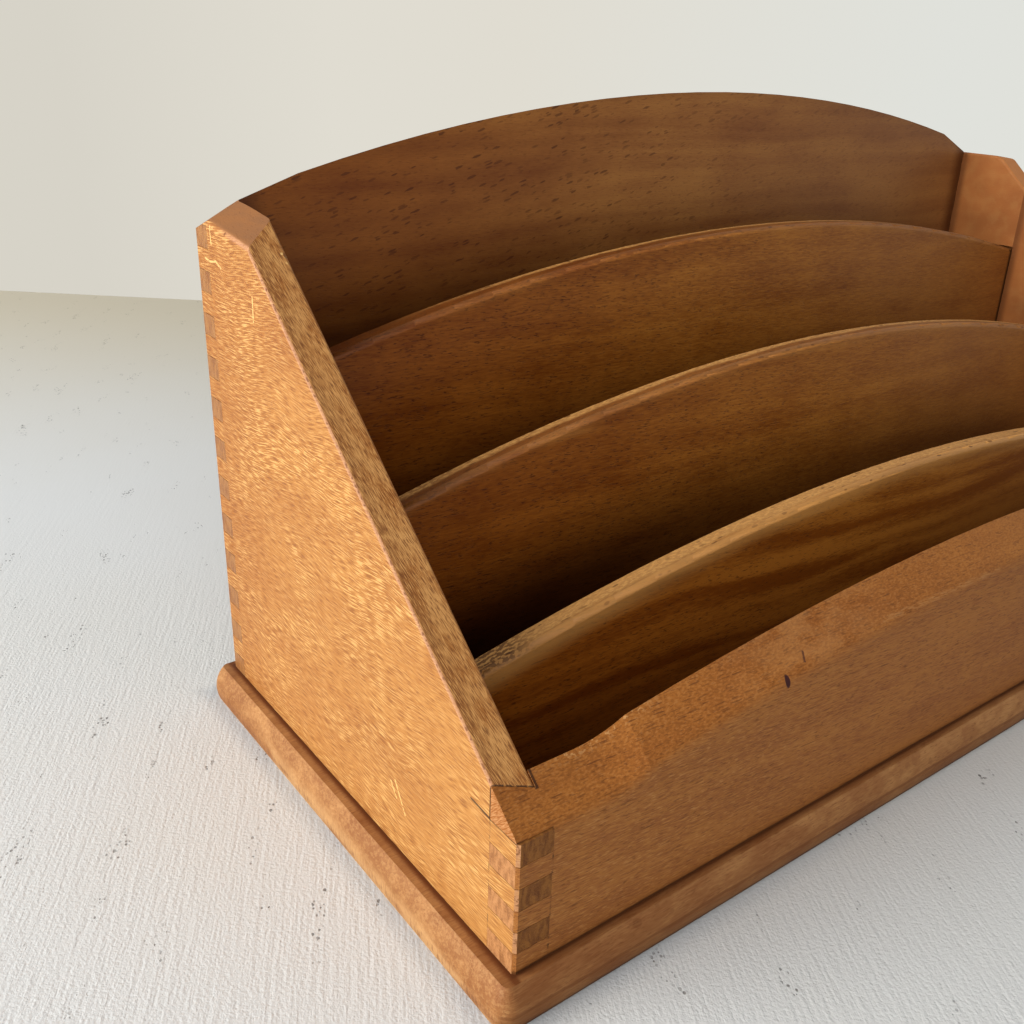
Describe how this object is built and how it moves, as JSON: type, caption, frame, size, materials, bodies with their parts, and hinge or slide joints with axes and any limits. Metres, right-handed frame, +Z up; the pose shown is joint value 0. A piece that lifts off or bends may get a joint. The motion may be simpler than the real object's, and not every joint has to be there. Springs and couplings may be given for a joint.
{
  "type": "desk letter sorter",
  "caption": "Wooden desk letter sorter: arched dividers step up between sloping finger-jointed sides on a rounded base board.",
  "frame": {"origin": "middle of the underside of the base board", "axes": "+X along the length to the viewer's right, -Y out of the front, +Z up"},
  "size_m": [0.3664, 0.16, 0.1814],
  "materials": {
    "side_beech": "worn waxed beech, golden brown",
    "back_beech": "waxed beech, darkened brown, with short dark flecks",
    "front_beech": "waxed beech, mid brown",
    "divider_beech": "waxed beech, mid brown",
    "base_beech": "worn waxed beech with a rounded, rubbed edge",
    "screw_steel": "plain steel wood screws"
  },
  "bodies": {
    "root": {"left_side": "side_beech", "right_side": "side_beech", "back_panel": "back_beech", "front_panel": "front_beech", "front_divider": "divider_beech", "middle_divider": "divider_beech", "rear_divider": "divider_beech", "base_board": "base_beech", "base_screws": "screw_steel"}
  },
  "joints": []
}
